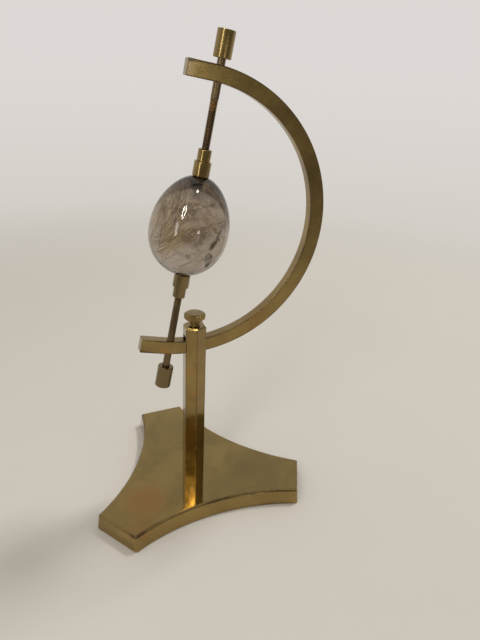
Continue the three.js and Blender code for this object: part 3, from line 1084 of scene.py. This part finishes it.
def make_pad(side, place):
    """The leather pad in a cup: its face follows the stone."""
    low, high, radius = node_span(side + "_cup_pad", place)
    to_egg = EGG_PLACE.inverted() @ place
    gap = 0.05 * MM

    def stone_height(x, y):
        """The height at which the stone's surface lies over a point of the pad."""
        lowest, highest = low - 4 * MM, high
        for _ in range(30):
            middle = (lowest + highest) / 2
            if inside_egg(to_egg @ Vector((x, y, middle)), 0):
                lowest = middle
            else:
                highest = middle
        return lowest

    made = bmesh.new()
    rings = []
    segments = 64
    for share in (0.0, 0.3, 0.6, 0.85, 0.97, 1.0):
        ring = []
        for i in range(segments if share else 1):
            angle = math.tau * i / segments
            x, y = radius * share * math.cos(angle), radius * share * math.sin(angle)
            sink = 0.25 * MM if share == 1.0 else 0.0
            ring.append(made.verts.new((x, y, stone_height(x, y) + gap + sink)))
        rings.append(ring)
    rings.append([made.verts.new((v.co.x, v.co.y, high)) for v in rings[-1]])
    for inner, outer in zip(rings, rings[1:]):
        bridge(made, inner, outer)
    made.faces.new(rings[-1])
    return mesh_object(side + "_cup_pad_body", made, place, 40)


def make_cap(low_share, outer, inner):
    """A thin dark dome close under the stone's upper end: painted shade for the stone's dark top."""
    steps = 28
    shares = [1 - (1 - low_share) * (i / steps) ** 1.6 for i in range(steps + 1)]

    def wall(size):
        line = [(EGG_RADIUS * size * egg_shape(share), EGG_HALF * (size * share - 1)) for share in shares]
        return [(0, line[0][1]), *line[1:]]

    profile = wall(outer) + wall(inner)[::-1]
    return lathe("top_shade_dome", EGG_PLACE @ Matrix.Translation((0, 0, EGG_HALF)), profile, 96)


finish_piece(make_egg(), "egg_holder", "quartz", QUARTZ, "quartz_egg")
finish_piece(make_needles("rutile_needles", NEEDLES, 11), "egg_holder", "quartz", RUTILE)
finish_piece(make_needles("stout_needles", STOUT_NEEDLES, 5), "egg_holder", "quartz", RUTILE_PAINTED_GLINT)
# The dark dome under the top of the stone: painted shade.
finish_piece(make_cap(0.42, 0.95, 0.93), "egg_holder", "quartz", TOP_SHADE_VEIL)

# Each veil: name, middle, across and upward directions as the camera sees them, size, bend, seed, look.
VEILS = [
    ("haze_veil_upper", (0.2, 0.1, -0.3), (1, 0.1, 0), (0, 1, 0.3), (0.6, 0.5), 0.25, 3, CLOUD),
    ("haze_veil_lower", (0.1, -0.45, 0), (1, -0.2, 0.2), (0.2, 0.4, 1), (0.6, 0.6), -0.2, 5, CLOUD),
    ("haze_veil_left", (-0.45, 0.05, -0.1), (0.3, 1, 0), (0.2, 0, 1), (0.7, 0.45), 0.15, 8, CLOUD),
    ("dark_veil_upper", (0.62, -0.38, 0.4), (-0.47, -0.88, 0.1), (0.8, -0.4, 0.4),
     (0.32, 0.055), 0.03, 4, CRACK),
    ("dark_veil_lower", (0.42, -0.86, 0.15), (0.1, -1, 0), (1, 0.1, 0.3), (0.28, 0.1), 0.03, 6, CRACK),
    ("dark_veil_right", (0.82, 0.18, 0.1), (0.25, -1, 0.1), (0.5, 0.1, 0.8), (0.14, 0.05), 0.02, 7, CRACK),
]
for *shape, look in VEILS:
    finish_piece(make_veil(*shape), "egg_holder", "quartz", look)

HOLDERS = {"upper": "upper_holder", "lower": "egg_holder"}
for side, place in SPINDLE_PLACES.items():
    spindle = side + "_spindle"
    holder = HOLDERS[side]
    finish_piece(make_rod(side, place), spindle, "aged_brass", ROD_BRASS[side], side + "_rod")
    # The lower knob, cup and bush take the darker copy of the turned brass: painted shade under the stone.
    turned = TURNED if side == "upper" else SHADED_TURNED
    for part, make in (("knob", make_knob), ("cup", make_cup), ("bush", make_bush)):
        body = spindle if part == "knob" else holder
        finish_piece(make(side, place), body, "turned_brass", turned, side + "_" + part)
    finish_piece(make_pad(side, place), holder, "leather", LEATHER, side + "_cup_pad")

# ---- small CAD pieces that stay as they are

for node_name, finish in (
    ("upper_thrust_disc", STEEL),
    ("lower_thrust_disc", STEEL),
    ("upper_rod_clip", STEEL),
    ("lower_rod_clip", STEEL),
    ("clamp_pad", NYLON),
):
    kept = frame["nodes"][node_name]
    set_material(kept, finish)

# ---- floor and light


def make_floor():
    """A pale floor that fades into the pale room about a metre away."""
    material, tree, shader, place = new_material("floor")
    clouds = noise(tree, place, 7.0, 3.0)
    paper = blend(tree, clouds, rgb(0.62, 0.585, 0.525), rgb(0.65, 0.615, 0.555))
    fade = spread(tree, distance_from(tree, place), 0.3, 0.75, 1.0, 0.0)
    fill(tree, shader, Base_Color=paper, Alpha=fade, Roughness=0.6, Specular_IOR_Level=0.2)
    made = bmesh.new()
    bmesh.ops.create_grid(made, x_segments=1, y_segments=1, size=1.2)
    floor = mesh_object("floor", made, Matrix.Translation((0, 0, cad_low.z - 0.1 * MM)))
    floor.data.materials.append(material)


def area_light(name, direction, distance, size, power, color=(1, 1, 1)):
    """A soft lamp that shines on the object from `direction`, and doesn't show in reflections."""
    lamp = bpy.data.lights.new(name, "AREA")
    lamp.shape = "RECTANGLE"
    lamp.size, lamp.size_y = size
    lamp.energy = power
    lamp.color = color
    target = (cad_low + cad_high) / 2
    out = Vector(direction).normalized()
    obj = link_object(name, lamp, facing(out, target + out * distance))
    obj.visible_glossy = False
    obj.visible_transmission = False


def place_lamp(name, made, direction, distance, strength):
    """A glowing shape that faces the stone from `direction` and shows only in reflections."""
    material = bpy.data.materials.new(name)
    material.use_nodes = True
    tree = material.node_tree
    tree.nodes.clear()
    glow = add_node(tree, "Emission", Color=rgb(1.0, 0.97, 0.9), Strength=strength)
    out_node = add_node(tree, "OutputMaterial")
    tree.links.new(glow.outputs[0], out_node.inputs["Surface"])
    out = Vector(direction).normalized()
    lamp = mesh_object(name, made, facing(out, EGG_PLACE.translation + out * distance))
    lamp.data.materials.append(material)
    for kind in ("camera", "diffuse", "shadow", "transmission"):
        setattr(lamp, "visible_" + kind, False)


def card_lamp(name, direction, distance, size, strength):
    """A glowing card."""
    made = bmesh.new()
    x, y = size[0] / 2, size[1] / 2
    made.faces.new([made.verts.new(corner) for corner in ((-x, -y, 0), (x, -y, 0), (x, y, 0), (-x, y, 0))])
    place_lamp(name, made, direction, distance, strength)


def ring_lamp(direction, distance, half_size, tube, strength):
    """A hoop of light in front of the stand: it gives the stone its ring-shaped highlight."""
    made = bmesh.new()
    around, across = 64, 10
    rings = []
    for i in range(around):
        out = Vector((math.cos(math.tau * i / around), math.sin(math.tau * i / around), 0))
        centre = Vector((half_size[0] * out.x, half_size[1] * out.y, 0))
        ring = []
        for j in range(across):
            turn = math.tau * j / across
            offset = out * math.cos(turn) + Vector((0, 0, math.sin(turn)))
            ring.append(made.verts.new(centre + offset * tube))
        rings.append(ring)
    for ring, following in zip(rings, rings[1:] + rings[:1]):
        bridge(made, ring, following)
    place_lamp("ring_lamp", made, direction, distance, strength)


def make_world():
    """A pale room: bright behind and above, dim on the viewer's side."""
    world = bpy.data.worlds.new("studio")
    bpy.context.scene.world = world
    world.use_nodes = True
    tree = world.node_tree
    tree.nodes.clear()
    direction = add_node(tree, "TexCoord").outputs["Generated"]
    _, along, upward = add_node(tree, "SeparateXYZ", Vector=direction).outputs
    depth = spread(tree, along, -0.6, 0.3)
    height = spread(tree, upward, -0.1, 0.9)
    front = blend(tree, height, rgb(0.2, 0.185, 0.165), rgb(0.4, 0.39, 0.37))
    back = blend(tree, height, rgb(0.66, 0.63, 0.6), rgb(0.5, 0.49, 0.48))
    room = blend(tree, depth, front, back)
    eye = add_node(tree, "LightPath").outputs["Is Camera Ray"]
    wall = spread(tree, upward, -0.3, 0.0)
    backdrop = blend(tree, wall, rgb(0.65, 0.62, 0.57), rgb(0.72, 0.685, 0.665))
    background = add_node(tree, "Background", Color=blend(tree, eye, room, backdrop), Strength=1.0)
    output = add_node(tree, "OutputWorld")
    tree.links.new(background.outputs[0], output.inputs["Surface"])


make_floor()
make_world()
# Lamps seen only in reflections: direction from the stone, distance, size, (tube,) strength.
ring_lamp((-0.505, -0.605, 0.615), 0.45, (0.028, 0.0776), 0.0072, 32.0)
card_lamp("strip_lamp", (-0.766, -0.62, 0.166), 0.74, (0.09, 0.3), 6.0)
card_lamp("tip_lamp", (0.181, -0.983, 0.022), 1.2, (0.12, 0.09), 8.0)
card_lamp("spot_lamp", (0.11, -0.21, 0.97), 1.1, (0.11, 0.11), 26.0)
# Lamps that light the surfaces: direction, distance, size, power, colour.
area_light("key", (0.5, 0.2, 0.84), 1.1, (0.2, 0.2), 5.5, (1.0, 0.98, 0.95))
area_light("ring_fill", (-0.527, -0.586, 0.615), 0.7, (0.14, 0.3), 1.0, (1.0, 0.97, 0.92))
area_light("ceiling", (-0.2, 0.2, 1.0), 1.2, (1.0, 1.0), 1.5, (0.99, 0.98, 1.0))

view = bpy.context.scene.view_settings
view.view_transform = "Standard"
view.look = "None"
view.exposure = 0.0
